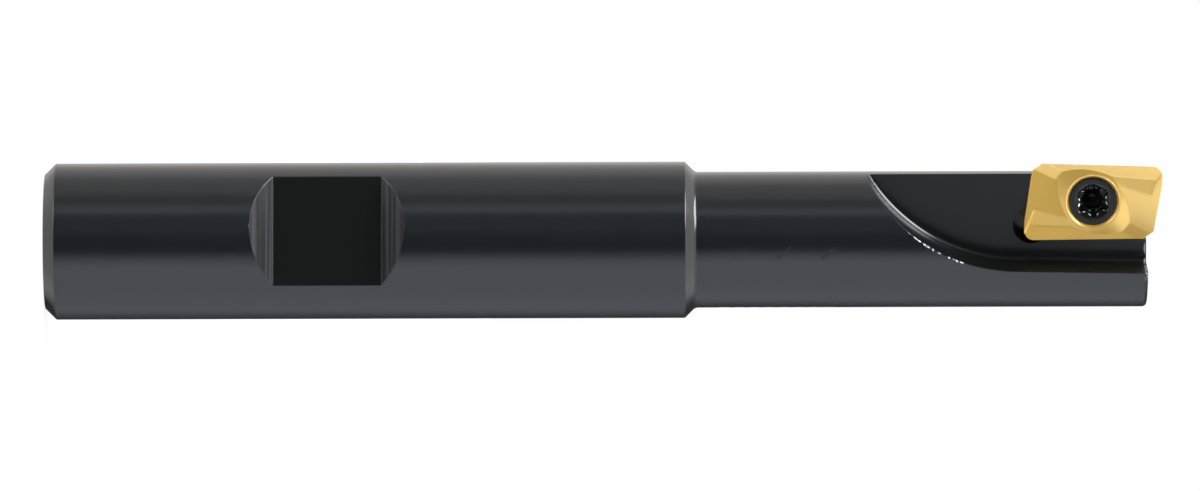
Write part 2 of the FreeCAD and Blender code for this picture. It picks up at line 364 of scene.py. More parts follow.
def flatDistance(height):
    # The flat's distance from the axis: its floor, and a ramp at each end that starts with a small hollow.
    b = body
    past = np.abs(height - b["flatCentre"]) - b["flatLength"] / 2
    w = b["flatHollow"]
    rise = np.where(past > w, past, np.maximum(past + w, 0) ** 2 / (4 * w))
    return b["shankRadius"] - b["flatDepth"] + rise


def section(radius, height):
    # One closed ring of points at each station, the same number in each, so that edges run along the grid:
    # back arc, corner, flute wall and fillet, flute floor, corner.
    b, f = body, flute
    radius, height = radius[None, :], height[None, :]
    e = b["edgeBreak"]
    wallShare, floorShare = 0.55, 0.45      # of the points across the flute
    leastHalf, freeHalf = 2.0, 43.0         # half the front's angle beside the flat, and what it opens by
    ramp = np.abs(height - b["flatCentre"]) - b["flatLength"] / 2
    flatAt = flatDistance(height)
    onShank = (height < b["shankLength"] - 0.5) & (height > b["endChamfer"])
    hasFlat = onShank & (flatAt < radius)
    chordHalf = np.degrees(np.arccos(np.clip(flatAt / np.maximum(radius, 1e-6), -1, 1)))
    spread = fade(ramp, b["flatDepth"], 1.5)
    chordHalf = np.where(hasFlat, np.maximum(chordHalf, leastHalf), leastHalf + freeHalf * spread)

    topSide, topFace = flutePath(radius, height, np.zeros_like(height))
    footSide, footFace = flutePath(radius, height, np.ones_like(height))
    onFloor = footFace < f["floor"] + 1e-6
    floorEdge = np.where(onFloor, np.sqrt(np.maximum(radius ** 2 - f["floor"] ** 2, 0)), footSide)
    opening = f["floor"] + f["corner"] - f["mouth"]
    hasFlute = sideAt(height, opening) ** 2 + opening ** 2 < radius ** 2
    hasFlute = hasFlute & (height > b["shankLength"] + 5)
    edgeAngle = np.degrees(np.arctan2(topSide, topFace))
    floorAngle = np.degrees(np.arctan2(floorEdge, footFace))
    meetAngle = math.degrees(math.acos(opening / b["neckRadius"]))
    runIn = fade(height, b["shankLength"] + 2, 10.0)
    before = b["flatTurnDeg"] - chordHalf
    after = b["flatTurnDeg"] + chordHalf
    before = np.where(hasFlute, edgeAngle, before + (meetAngle - 0.8 - before) * runIn)
    after = np.where(hasFlute, floorAngle, after + (meetAngle + 0.8 - after) * runIn)

    def onCircle(angle):
        return np.stack([radius * sin(angle), radius * cos(angle)], -1)

    away = np.degrees(e / np.maximum(radius, 0.2))
    guard = 2.0 * away
    cornerA, cornerB = onCircle(before), onCircle(after)

    def front(s):
        # s runs from 0 at the wall's top edge to 1 at the floor's outer edge.
        chord = cornerA + (cornerB - cornerA) * s[..., None]
        plain = onCircle(before + (after - before) * s)
        sWall = np.clip(s / wallShare, 0, 1)
        side, face = flutePath(radius, height, sWall)
        sFloor = fade(s, wallShare, 1 - wallShare)
        floorSide = footSide + (floorEdge - footSide) * sFloor
        onWall = s < wallShare
        groove = np.stack([np.where(onWall, side, floorSide), np.where(onWall, face, footFace)], -1)
        path = np.where(hasFlat[..., None], chord, plain)
        return np.where(hasFlute[..., None], groove, path)

    wallLength = np.maximum(topFace - f["floor"], 0.05) + 0.6
    nearWall = np.clip(e / wallLength * wallShare, 0.002, 0.1)
    floorLength = np.maximum(floorEdge - footSide, 0.05)
    nearFloor = np.clip(e / floorLength * floorShare, 0.002, 0.1)
    chordLength = np.maximum(2 * radius * sin(chordHalf), 0.3)
    nearChord = np.clip(e / chordLength, 0.002, 0.2)
    stepA = np.where(hasFlute, nearWall, nearChord)
    stepB = np.where(hasFlute, nearFloor, nearChord)

    backStart = after + away + guard
    backWhole = 360.0 - (after - before) - 2 * (away + guard)
    first, last = 3 * stepA, 1 - 3 * stepB
    rows = [onCircle(backStart + backWhole * t) for t in np.linspace(0, 1, b["backSamples"])]
    rows += roundedCorner(onCircle(before - away), cornerA, front(stepA))
    for t in np.linspace(0, 1, b["wallSamples"] + b["floorSamples"]):
        rows.append(front(first + (last - first) * t))
    rows += roundedCorner(front(1 - stepB), cornerB, onCircle(after + away))
    return np.stack([row.reshape(-1, 2) for row in rows], 1)


def cutterBody():
    # The section at every station along the tool, and the flat tip as rings that shrink to a point on it.
    radius, height = bodyStations()
    ring = section(radius, height)
    capShares = np.array([0.985, 0.94, 0.7, 0.35, 0.0])
    capCentre = np.array([-2.4, -0.5])
    cap = capCentre + (ring[-1] - capCentre) * capShares[:, None, None]
    ring = np.concatenate([ring, cap])
    station = np.concatenate([height, np.full(len(capShares), body["length"])])
    points = place(ring[..., 0], ring[..., 1], np.repeat(station[:, None], ring.shape[1], 1))
    return meshObject("cutterBody", points, gridFaces(*ring.shape[:2]))


cutter = cutterBody()
print("body", len(cutter.data.vertices))


# Insert, in its own frame: u along it towards the tip, v across it towards the cutting side,
# t up from the seat

def insertPlace(grid):
    # From u, v and t on the grid's last axis to the place on the tool.
    u, v, t = np.moveaxis(grid, -1, 0)
    turn = seat["turnDeg"]
    side = seat["offset"] - u * sin(turn) + v * cos(turn)
    face = seat["noseHeight"] - insert["thickness"] + t
    station = seat["station"] + u * cos(turn) + v * sin(turn)
    return place(side, face, station)


def meetSides(one, two):
    # Where two lines cross, each given by its normal's angle and its distance from the hole.
    (a1, d1), (a2, d2) = one, two
    across = sin(a2 - a1)
    return np.array([d1 * sin(a2) - d2 * sin(a1), d2 * cos(a1) - d1 * cos(a2)]) / across


def insertSides(inset):
    # Edge, wiper, end and cut corner of the active half, then their half-turn twins.
    s = insert
    turn = seat["turnDeg"]
    edge, wiper = (90.0, s["width"] / 2), (turn, s["length"] / 2)
    reach = s["noseRadius"] * tan((90.0 - turn) / 2) + s["wiper"]
    u, v = meetSides(edge, wiper)
    lean = -s["endLeanDeg"]
    wiperEnd = (u + reach * sin(turn), v - reach * cos(turn))
    end = (lean, wiperEnd[0] * cos(lean) + wiperEnd[1] * sin(lean))
    u, v = meetSides(end, (-90.0, s["width"] / 2))
    onEdge = (u - s["cornerAlong"], v)
    onEnd = (u - s["cornerAcross"] * sin(lean), v + s["cornerAcross"] * cos(lean))
    slant = math.degrees(math.atan2(onEdge[0] - onEnd[0], onEnd[1] - onEdge[1]))
    corner = (slant, onEnd[0] * cos(slant) + onEnd[1] * sin(slant))
    half = [(angle, distance - inset) for angle, distance in (edge, wiper, end, corner)]
    return half + [(angle + 180.0, distance) for angle, distance in half]


def insertOutline(inset):
    # Points round the insert at one inset: straight sides, and an arc of the remaining radius at each nose.
    sides = insertSides(inset)
    radius = insert["noseRadius"] - inset
    counts = [76, 12, 40, 16, 76, 12, 40, 16]
    pieces = []
    for i, side in enumerate(sides):
        before, after = sides[i - 1], sides[(i + 1) % 8]
        start, end = meetSides(before, side), meetSides(side, after)
        nose = i % 4 == 0
        if i % 4 == 1:  # the wiper starts where the nose arc ends
            centre = meetSides((before[0], before[1] - radius), (side[0], side[1] - radius))
            start = centre + radius * np.array([cos(side[0]), sin(side[0])])
        if nose:
            centre = meetSides((side[0], side[1] - radius), (after[0], after[1] - radius))
            end = centre + radius * np.array([cos(side[0]), sin(side[0])])
        t = np.linspace(0, 1, counts[i], endpoint=False)
        t = t * 0.96 + 0.02 * (1 - np.cos(np.pi * t))
        pieces.append(start + (end - start) * t[:, None])
        if nose:
            angle = np.linspace(side[0], after[0], 22, endpoint=False)
            pieces.append(centre + radius * np.stack([cos(angle), sin(angle)], -1))
    return np.concatenate(pieces)


def planeHeight(point, along, inward):
    # A height function: the plane through a point that holds two directions.
    normal = np.cross(along, inward)
    return lambda u, v: point[2] - (normal[0] * (u - point[0]) + normal[1] * (v - point[1])) / normal[2]


def upNormal(along, inward):
    # The unit normal, upwards, of a plane that holds two directions.
    normal = np.cross(along, inward)
    normal = normal / np.linalg.norm(normal)
    return normal * np.sign(normal[2])


def softMax(a, b, width):
    # The larger height, blended where the two are nearer than width.
    return np.maximum(a, b) + np.maximum(width - np.abs(a - b), 0) ** 2 / (4 * width)


def softMin(a, b, width):
    # The lower height, blended in the same way.
    return -softMax(-a, -b, width)


def rakeHeight(u, v):
    # Height of the pressed top: the highest of the edge rakes, the end rakes with a chip groove cut in each,
    # the facets in the low corners and the round boss.
    s = insert
    nose = np.array([s["length"] / 2 - s["noseRadius"], s["width"] / 2, s["thickness"]])
    along = np.array([1, tan(s["edgeRiseDeg"]) * tan(s["flankDeg"]), tan(s["edgeRiseDeg"])])
    inward = np.array([0, -1, -tan(s["edgeRakeDeg"])])
    edge = planeHeight(nose, along, inward)
    endPoint = np.array([s["length"] / 2, s["width"] / 2 - s["noseRadius"], s["thickness"]])
    endAlong = np.array([tan(s["endLeanDeg"]), 1, tan(s["endDropDeg"])])
    endInward = np.array([-1, 0, -tan(s["endRakeDeg"])])
    end = planeHeight(endPoint, endAlong, endInward)
    valley = nose + inward * s["grooveAtNose"]
    fall = tan(s["edgeRiseDeg"]) - tan(s["edgeRakeDeg"]) * tan(s["grooveTurnDeg"])
    wall = planeHeight(valley, (1, -tan(s["grooveTurnDeg"]), fall), (0, -1, tan(s["grooveWallDeg"])))
    tip = (s["length"] / 2 - s["grooveMargin"] - s["noseRadius"] / 2, valley[1], valley[2])
    stopAlong = (tan(s["grooveLeanDeg"]), 1, -tan(s["grooveWallDeg"]))
    stop = planeHeight(tip, stopAlong, (1, 0, 1 / tan(s["grooveEndDeg"])))

    halfTurn = np.array([-1, -1, 1])
    endNormal = upNormal(endAlong, endInward)
    idleNormal = upNormal(along, inward) * halfTurn
    facetNormal = endNormal + idleNormal
    facetNormal = facetNormal / np.linalg.norm(facetNormal)
    at = s["facetStation"]
    sums = np.array([endNormal @ endPoint, idleNormal @ (nose * halfTurn)])
    sums = sums - np.array([endNormal[0], idleNormal[0]]) * at
    foot = np.linalg.solve(np.array([endNormal[1:], idleNormal[1:]]), sums)
    facetPoint = np.array([at, foot[0], foot[1]]) + facetNormal * s["facetRise"]
    line = np.cross(endNormal, idleNormal)
    facet = planeHeight(facetPoint, line, np.cross(facetNormal, line))

    k = s["crease"]
    forms = []
    for sign in (1, -1):
        x, y = sign * u, sign * v
        groove = softMax(wall(x, y), stop(x, y), k)
        forms.append(softMax(softMin(end(x, y), groove, k), facet(x, y), k))
    height = softMax(forms[0], forms[1], k)

    top = s["thickness"] - s["bossDrop"]
    outside = np.hypot(u, v) - s["sinkRadius"] - s["bossRim"]
    fromTurn = np.degrees(np.arctan2(v, u)) - s["bossTurnDeg"]
    fall = s["bossSlope"] + s["bossSlopeSwing"] * cos(2 * fromTurn)
    boss = softMin(top - fall * outside, np.full_like(u, top), k)
    height = softMax(height, boss, k)
    return softMax(height, softMax(edge(u, v), edge(-u, -v), k), k)


def cuttingInsert():
    # Rings round the hole: out along the seat, up the flank, over the honed edge, in over the top,
    # down the countersink and the hole.
    s = insert
    outline = insertOutline(0.0)
    trial = 0.1
    drift = (insertOutline(trial) - outline) / trial

    def flank(t):
        # The outline at a height, which may differ from point to point.
        return outline + drift * ((s["thickness"] - t) * tan(s["flankDeg"]))[:, None]

    rim = np.full(len(outline), s["thickness"])
    for _ in range(20):
        point = flank(rim)
        rim = rakeHeight(point[:, 0], point[:, 1])
    edge = flank(rim)
    length = np.hypot(edge[:, 0], edge[:, 1])
    direction = edge / length[:, None]
    top = s["thickness"] - s["bossDrop"]

    def topAt(radius):
        point = direction * radius[:, None]
        return np.column_stack([point, rakeHeight(point[:, 0], point[:, 1])])

    def level(radius, t):
        point = direction * radius
        return np.column_stack([point, np.full(len(point), t)])

    hone = s["hone"]
    rings = [level(r, 0.0) for r in np.linspace(s["holeRadius"] + 0.05, 2.3, 4)]
    zero = np.zeros(len(outline))
    rings.append(np.column_stack([flank(zero) * 0.985, zero]))
    rings.append(np.column_stack([flank(zero), zero + 0.02]))
    for share in np.linspace(0.05, 0.97, 14):
        height = (rim - 2 * hone) * share
        rings.append(np.column_stack([flank(height), height]))
    lower = rim - hone
    start = np.column_stack([flank(lower), lower])
    corner = np.column_stack([edge, rim])
    after = topAt(length - hone)
    rings.append(start)
    for t in (0.2, 0.4, 0.6, 0.8):
        rings.append(leaning(start, corner, after, t))
    rings.append(after)
    inner = s["sinkRadius"] + s["lip"] + 0.012
    outer = length - 2 * hone
    for share in np.linspace(0, 1, 72):
        rings.append(topAt(outer + (inner - outer) * share))
    narrowing = s["holeRadius"] - s["sinkRadius"]
    depth = -narrowing / tan(s["sinkDeg"] / 2)
    lip = s["lip"]
    slant = np.array([-sin(s["sinkDeg"] / 2), -cos(s["sinkDeg"] / 2)]) * lip
    for t in np.linspace(0, 1, 8):
        out = (1 - t) ** 2 * lip + t ** 2 * slant[0]
        rings.append(level(s["sinkRadius"] + out, top + t ** 2 * slant[1]))
    for share in np.linspace(0.25, 1, 9):
        rings.append(level(s["sinkRadius"] + narrowing * share, top - depth * share))
    for t in (top - depth - 0.1, (top - depth) / 2, 0.03):
        rings.append(level(s["holeRadius"], t))
    grid = np.stack(rings)
    faces = gridFaces(*grid.shape[:2], closedRows=True)
    return meshObject("cuttingInsert", insertPlace(grid), faces, 28.0)


# Screw

def recessColumns():
    # Angles and radii round the six-lobed recess, evenly spaced along its outline: small round lobes
    # joined by hollow arcs that touch them.
    s = screw
    small, valley = s["lobeRound"], s["recessValley"]
    lobe = s["recessTip"] - small
    spread = 2 * lobe * cos(30.0)
    big = (lobe ** 2 + valley ** 2 - valley * spread - small ** 2) / (2 * small - 2 * valley + spread)
    far = valley + big
    angle = np.linspace(0, 360, 7200, endpoint=False)
    local = np.abs((angle + 30.0) % 60.0 - 30.0)
    lobeCentre, hollowCentre = np.array([lobe, 0]), far * np.array([cos(30.0), sin(30.0)])
    touch = lobeCentre + small * (hollowCentre - lobeCentre) / (big + small)
    onLobe = local < np.degrees(np.arctan2(touch[1], touch[0]))
    lobeRadius = lobe * cos(local) + np.sqrt(np.maximum(small ** 2 - (lobe * sin(local)) ** 2, 0))
    hollowRadius = far * cos(30.0 - local) - np.sqrt(np.maximum(big ** 2 - (far * sin(30.0 - local)) ** 2, 0))
    radius = np.where(onLobe, lobeRadius, hollowRadius)
    x, y = radius * cos(angle), radius * sin(angle)
    travelled = np.concatenate([[0], np.cumsum(np.hypot(np.diff(x), np.diff(y)))])
    chosen = np.linspace(0, travelled[-1], s["around"], endpoint=False)
    return np.interp(chosen, travelled, angle) + s["recessTurnDeg"], np.interp(chosen, travelled, radius)


def insertScrew():
    # A turned profile carried round the axis, from the bottom of the recess, over the head
    # and down the thread.
    s = screw
    spread = tan(insert["sinkDeg"] / 2)
    rimHeight = insert["thickness"] - insert["bossDrop"]
    rim = s["headRim"]
    top = rimHeight - (insert["sinkRadius"] - s["headRadius"] - s["headClearance"]) / spread + rim / 2
    coneTop = top - rim / 2
    neck = coneTop - (s["headRadius"] - s["threadRadius"]) / spread
    floor = top - s["recessDepth"]
    tip = coneTop - s["length"]
    angle, lobes = recessColumns()
    one = np.ones_like(angle)
    radii, heights = [], []

    def ring(radius, height):
        radii.append(radius * one)
        heights.append(height * one)

    bore, bottom = s["boreRadius"], top - s["boreDepth"]
    for share in (0.0, 0.5, 0.97):
        ring(bore * share, bottom - bore * (1 - share) * 0.5)
    ring(bore, bottom + 0.04)
    ring(bore, floor - 0.16)
    ring(bore + 0.03, floor - 0.1)
    ring(lobes - 0.05, floor)
    ring(lobes - 0.012, floor + 0.02)
    for share in (0.06, 0.3, 0.55, 0.68):
        ring(lobes, floor + s["recessDepth"] * share)
    bevel, mouth = s["bevelRadius"], s["mouthRound"]
    edgeDrop = (bevel - lobes) * 0.4
    for turn in np.linspace(0, 70, 8):
        ring(lobes + mouth * (1 - cos(turn)), top - edgeDrop - mouth + mouth * sin(turn))
    ring(lobes + mouth + (bevel - lobes - mouth) * 0.6, top - edgeDrop * 0.3)
    ring(bevel - 0.015, top - 0.008)
    ring(bevel + 0.012, top - 0.001)
    ring(bevel + 0.04, top)
    ring((bevel + s["headRadius"]) / 2, top)
    ring(s["headRadius"] - rim - 0.03, top)
    for t in (0.0, 0.25, 0.5, 0.75, 1.0):
        left = (1 - t) ** 2
        ring(s["headRadius"] - rim * left, top - rim / 2 * (1 - left) - 0.001 * t)
    narrowing = s["threadRadius"] - 0.02 - s["headRadius"]
    for share in np.linspace(0.04, 1, 8):
        ring(s["headRadius"] + narrowing * share, coneTop - (coneTop - neck) * share)
    for height in np.linspace(neck - 0.02, tip + s["tipChamfer"] * 0.15, 110):
        turn = height / s["threadPitch"] + angle / 360.0
        tooth = np.abs((turn % 1.0) - 0.5) * 2  # 0 at the root and 1 at the crest
        runOut = min((neck - height) / 0.4, 1.0)
        outer = min(s["threadRadius"], s["threadRadius"] - s["tipChamfer"] + (height - tip))
        root = s["threadDepth"] * runOut * np.clip(1.15 - 1.3 * tooth, 0, 1)
        ring(np.minimum(s["threadRadius"] - root, outer), height)
    ring(s["threadRadius"] - s["tipChamfer"], tip)
    ring(s["threadRadius"] * 0.4, tip)
    ring(0.0, tip)
    radius, height = np.stack(radii), np.stack(heights)
    grid = np.stack([radius * cos(angle), radius * sin(angle), height], -1)
    return meshObject("insertScrew", insertPlace(grid), gridFaces(*radius.shape), 38.0)


# Pocket in the body

def pocketCutter():
    # The space of the insert's idle flanks, a clearance wider, open towards the tip and the cutting side.
    beyond = 14.0
    outside, front = (90.0, beyond), (0.0, beyond)
    rings = []
    for t in (0.0, 2 * insert["thickness"]):
        sides = insertSides((insert["thickness"] - t) * tan(insert["flankDeg"]) - seat["wallClearance"])
        longWall, endWall = sides[4], sides[6]
        pairs = ((longWall, endWall), (longWall, front), (outside, front), (endWall, outside))
        corners = np.array([meetSides(*pair) for pair in pairs])
        rings.append(np.column_stack([corners, np.full(4, t)]))
    low, high = rings
    grid = np.stack([low.mean(0) + 0 * low, low, high, high.mean(0) + 0 * high])
    return meshObject("pocketCutter", insertPlace(grid), gridFaces(4, 4))


def roundCutter(name, u, v, radius, low, high, around=96):
    # A closed cylinder on the seat, from low to high.
    angle = np.linspace(0, 360, around, endpoint=False)
    rings = []
    for r, t in ((0.0, low), (radius, low), (radius, high), (0.0, high)):
        rings.append(np.column_stack([u + r * cos(angle), v + r * sin(angle), np.full(around, t)]))
    return meshObject(name, insertPlace(np.stack(rings)), gridFaces(4, around))


def reliefCutter():
    # The round relief where the pocket's two walls meet.
    idle = insertSides(0.0)
    u, v = meetSides(idle[4], idle[6])
    u, v = u + seat["reliefAlong"], v + seat["reliefAcross"]
    return roundCutter("reliefCutter", u, v, seat["reliefRadius"], -seat["reliefDepth"], 7.0)


def holeCutter():
    # The screw's hole, out through the tool's back.
    radius = screw["threadRadius"] + screw["threadClearance"]
    return roundCutter("holeCutter", 0.0, 0.0, radius, -9.0, 1.0)


def readOut(elements, name, kind=float, width=1):
    # One number or vector of each element, as an array.
    found = np.empty(len(elements) * width, kind)
    elements.foreach_get(name, found)
    return found.reshape(-1, width) if width > 1 else found


def vertexPlaces(mesh):
    return readOut(mesh.vertices, "co", width=3) * 1000.0


def exactNormals(made):
    # Faces of the shank's and neck's walls get the true radial normal, and milled planes their own.
    wallMiss, planeMiss = 0.0006, 0.00005
    mesh = made.data
    corner = readOut(mesh.loops, "vertex_index", np.int32)
    spot = vertexPlaces(mesh)
    radius = np.hypot(spot[:, 0], spot[:, 1])[corner]
    first = readOut(mesh.polygons, "loop_start", np.int32)
    total = readOut(mesh.polygons, "loop_total", np.int32)
    plane = readOut(mesh.polygons, "normal", width=3)
    normals = readOut(mesh.corner_normals, "vector", np.float32, 3)
    radial = np.column_stack([spot[corner, 0], spot[corner, 1], np.zeros(len(corner))])
    radial = radial / np.maximum(radius, 1e-6)[:, None]
    for wall in (body["shankRadius"], body["neckRadius"]):
        off = np.maximum.reduceat(np.abs(radius - wall), first)
        chosen = np.repeat(off < wallMiss, total)
        normals[chosen] = radial[chosen]
    turn = body["flatTurnDeg"]
    outward = np.array([-sin(turn), -cos(turn), 0])
    upright = np.array([0, 0, 1.0])
    ramps = [(outward + sign * upright) / math.sqrt(2) for sign in (1, -1)]
    for direction in (outward, np.array([0, -1.0, 0]), upright, -upright, *ramps):
        chosen = np.repeat(plane @ direction > 1 - planeMiss, total)
        normals[chosen] = direction
    mesh.normals_split_custom_set(normals.tolist())


def writeMarks(made, marks):
    for name, values in marks.items():
        made.data.attributes.new(name, "FLOAT", "POINT").data.foreach_set("value", values.astype(float))


wear = {
    "near": 0.004,          # how near a vertex lies to the flute's floor or wall
    "fluteFrom": 66.0,      # heights of the flute, and of its edge
    "edgeFrom": 66.5,
    "burrFrom": 68.6,       # rough stretch of the flute's edge, and how it begins and ends
    "burrRise": 3.0,
    "burrTo": 75.0,
    "burrFall": 0.8,
    "burrWidth": 0.16,
    "tipInset": 0.15,       # rough band round the flute's end at the tip
    "tipWidth": 0.12,
    "tipSide": -1.35,
    "tipHalf": 1.2,
    "tipFace": 0.2,
    "tipShare": 0.62,
    "dullFrom": 72.5,       # where the flute's wall turns dull
    "dullRise": 3.0,
    "dullFlute": 0.35,
    "dullRamp": 0.85,
}


def bodyMarks(made):
    # Vertex values for the steel: dull (the flat's floor and the flute's wall, and partly the flute's floor
    # and the flat's ramps), ramp (the flat's ramps) and burr (the rough stretch of the flute's edge, and a
    # band at the tip).
    b, f, w = body, flute, wear
    spot = vertexPlaces(made.data)
    side, face, height = -spot[:, 0], -spot[:, 1], spot[:, 2]
    radius = np.hypot(side, face)
    outward = side * sin(b["flatTurnDeg"]) + face * cos(b["flatTurnDeg"])
    past = np.abs(height - b["flatCentre"]) - b["flatLength"] / 2
    onFlat = np.abs(outward - flatDistance(height)) < w["near"] / 2
    onFlat = onFlat & (height < b["shankLength"]) & (radius < b["shankRadius"] - w["near"] / 2)
    onRamp = onFlat & (past > b["flatHollow"] + 0.001)
    onFloor = onFlat & (past < 0.8 * b["flatHollow"])
    edgeSide, edgeFace = flutePath(np.full_like(height, b["neckRadius"]), height, np.zeros_like(height))
    away = np.hypot(side - edgeSide, face - edgeFace)
    nearEdge = np.where(height > w["edgeFrom"], np.clip(1.5 - away / w["burrWidth"], 0, 1), 0)
    stretch = fade(height, w["burrFrom"], w["burrRise"]) * fade(height, w["burrTo"], -w["burrFall"])
    fromBand = np.abs(height - b["length"] + w["tipInset"])
    tipEdge = np.clip(1.6 - fromBand / w["tipWidth"], 0, 1) * (np.abs(side - w["tipSide"]) < w["tipHalf"])
    tipEdge = tipEdge * (face > w["tipFace"]) * (radius < b["neckRadius"] + 0.08)
    inFlute = (height > w["fluteFrom"]) & (radius < b["neckRadius"] - 0.02)
    onWall = inFlute & (face > f["floor"] + w["near"])
    onFlute = inFlute & (np.abs(face - f["floor"]) < w["near"])
    dull = np.maximum(onFloor, onWall * fade(height, w["dullFrom"], w["dullRise"]))
    dull = dull + w["dullFlute"] * onFlute + w["dullRamp"] * onRamp
    burr = np.maximum(nearEdge * stretch, tipEdge * w["tipShare"])
    writeMarks(made, {"dull": dull, "ramp": onRamp, "burr": burr})


def screwMarks(made):
    # Vertex values for the screw: recess (inside the bevel's edge, where shade is painted in) and worn
    # (bare spots on the recess's rounded mouth, on both sides of each ridge).
    s = screw
    spot = vertexPlaces(made.data)
    side, face, station = -spot[:, 0] - seat["offset"], -spot[:, 1], spot[:, 2] - seat["station"]
    turn = seat["turnDeg"]
    u, v = station * cos(turn) - side * sin(turn), station * sin(turn) + side * cos(turn)
    fromAxis = np.hypot(u, v)
    angle = np.degrees(np.arctan2(v, u)) - s["recessTurnDeg"]
    fromRidge = np.abs(np.mod(angle, 60.0) - 30.0)
    columns, lobes = recessColumns()
    outside = fromAxis - np.interp(np.mod(angle, 360.0), columns - s["recessTurnDeg"], lobes)
    inHead = face - seat["noseHeight"] > -insert["bossDrop"] - 0.8
    mouth = np.clip(1.4 - np.abs(outside - s["wearOutside"]) / 0.04, 0, 1) * inHead
    spots = np.clip(1.5 - np.abs(fromRidge - s["wearFromRidgeDeg"]) / s["wearHalfDeg"], 0, 1)
    # The recess value marks where painted shade darkens the screw inside the bevel's edge.
    recess = fade(fromAxis, s["bevelRadius"] - 0.02, -0.03) * (face > seat["noseHeight"] - insert["thickness"])
    writeMarks(made, {"worn": mouth * spots, "recess": recess})


cutAway(cutter, [pocketCutter(), reliefCutter(), holeCutter()])
tidyMesh(cutter)
exactNormals(cutter)
bodyMarks(cutter)
print("pocket cut", len(cutter.data.vertices))
gold = cuttingInsert()
print("insert", len(gold.data.vertices))
bolt = insertScrew()
screwMarks(bolt)
print("screw", len(bolt.data.vertices))


# Shader sums

class Wire:
    # A shader socket that takes part in sums. node() adds any other node, and fill() sets a node's sockets.
    def __init__(self, tree, socket=None):
        self.tree = tree
        self.socket = socket

    def node(self, kind, settings=None, inputs=None, out=0):
        made = self.tree.nodes.new(kind)
        for name, value in (settings or {}).items():
            if name == "stops":
                ramp = made.color_ramp
                while len(ramp.elements) < len(value):
                    ramp.elements.new(0.5)
                for element, (position, colour) in zip(ramp.elements, value):
                    element.position = position
                    element.color = (*colour, 1.0)
            else:
                setattr(made, name, value)
        self.fill(made, inputs or {})
        return Wire(self.tree, made.outputs[out])

    def fill(self, made, inputs):
        for name, value in inputs.items():
            if isinstance(value, Wire):
                self.tree.links.new(value.socket, made.inputs[name])
            else:
                made.inputs[name].default_value = value

    def maths(self, operation, *values):
        return self.node("ShaderNodeMath", {"operation": operation}, dict(enumerate(values)))

    def __add__(self, other):
        return self.maths("ADD", self, other)

    def __radd__(self, other):
        return self.maths("ADD", other, self)

    def __sub__(self, other):
        return self.maths("SUBTRACT", self, other)

    def __rsub__(self, other):
        return self.maths("SUBTRACT", other, self)

    def __mul__(self, other):
        return self.maths("MULTIPLY", self, other)

    def __rmul__(self, other):
        return self.maths("MULTIPLY", other, self)

    def __truediv__(self, other):
        return self.maths("DIVIDE", self, other)


def newMaterial(name):
    # An empty node tree with a Principled shader on its output.
    made = bpy.data.materials.new(name)
    made.use_nodes = True
    tree = made.node_tree
    tree.nodes.clear()
    shader = tree.nodes.new("ShaderNodeBsdfPrincipled")
    output = tree.nodes.new("ShaderNodeOutputMaterial")
    tree.links.new(shader.outputs[0], output.inputs["Surface"])
    return made, Wire(tree), shader


def mixColour(top, share, one, two):
    one, two = (c if isinstance(c, Wire) else (*c, 1.0) for c in (one, two))
    return top.node("ShaderNodeMix", {"data_type": "RGBA"}, {0: share, 6: one, 7: two}, 2)


def noise(top, position, scale, detail=3.0, stretch=(1.0, 1.0, 1.0)):
    # Scale is in patterns per mm.
    perMetre = tuple(1000.0 * s for s in stretch)
    placed = top.node("ShaderNodeMapping", None, {"Vector": position, "Scale": perMetre})
    return top.node("ShaderNodeTexNoise", None, {"Vector": placed, "Scale": scale, "Detail": detail}, "Fac")


def mark(top, name):
    return top.node("ShaderNodeAttribute", {"attribute_name": name}, out="Fac")


def softStep(top, value, low, high):
    # A smooth rise from 0 at low to 1 at high.
    limits = {"Value": value, "From Min": low, "From Max": high}
    return top.node("ShaderNodeMapRange", {"interpolation_type": "SMOOTHSTEP"}, limits)


def mixShader(top, share, one, two):
    return top.node("ShaderNodeMixShader", None, {0: share, 1: one, 2: two})


def useSurface(top, kind, surface):
    # Joins a shader to the tree's output, which is made where the tree has none.
    output = next((node for node in top.tree.nodes if node.bl_idname == kind), None) or top.tree.nodes.new(kind)
    top.tree.links.new(surface.socket, output.inputs["Surface"])


steel = {
    "colour": (0.0052, 0.0066, 0.0082),
    "worn": (0.0066, 0.0080, 0.0094),
    "roughness": 0.15,
    "dull": (0.0030, 0.0036, 0.0032),
    "dullRoughness": 0.34,
    "rampDark": (0.004, 0.005, 0.006),
    "rampLight": (0.024, 0.026, 0.031),
    "bare": (0.86, 0.87, 0.88),
}


